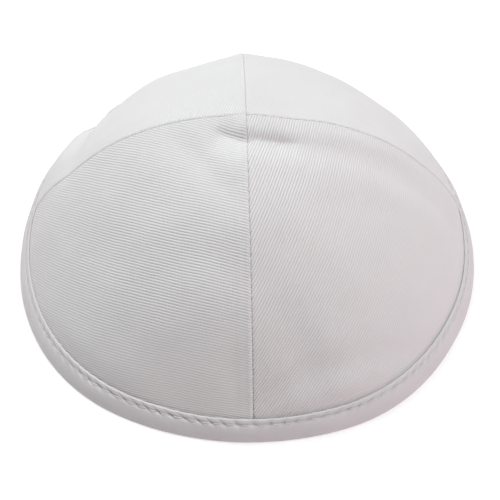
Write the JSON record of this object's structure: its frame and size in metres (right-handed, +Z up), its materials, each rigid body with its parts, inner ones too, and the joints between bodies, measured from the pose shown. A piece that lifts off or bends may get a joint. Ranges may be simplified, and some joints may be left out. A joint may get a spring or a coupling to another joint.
{
  "type": "kippah skullcap",
  "caption": "Domed cloth skullcap sewn from gores that meet at the apex, its lower edge bound with a folded strip, open below for the head.",
  "frame": {"origin": "centre of the rim's foot, on the plane that the cap rests on", "axes": "+Z up through the apex, -Y towards the front seam, +X to the right seen from the front; the lateral seam runs along X"},
  "size_m": [0.1802, 0.1804, 0.0623],
  "materials": {
    "crown_cloth": "off-white cotton twill, matt with a faint sheen",
    "binding_cloth": "off-white smooth cotton, matt, topstitched"
  },
  "bodies": {
    "root": {"gore_front_left": "crown_cloth", "gore_front_right": "crown_cloth", "gore_back_left": "crown_cloth", "gore_back_right": "crown_cloth", "rim_band": "binding_cloth"}
  },
  "joints": []
}
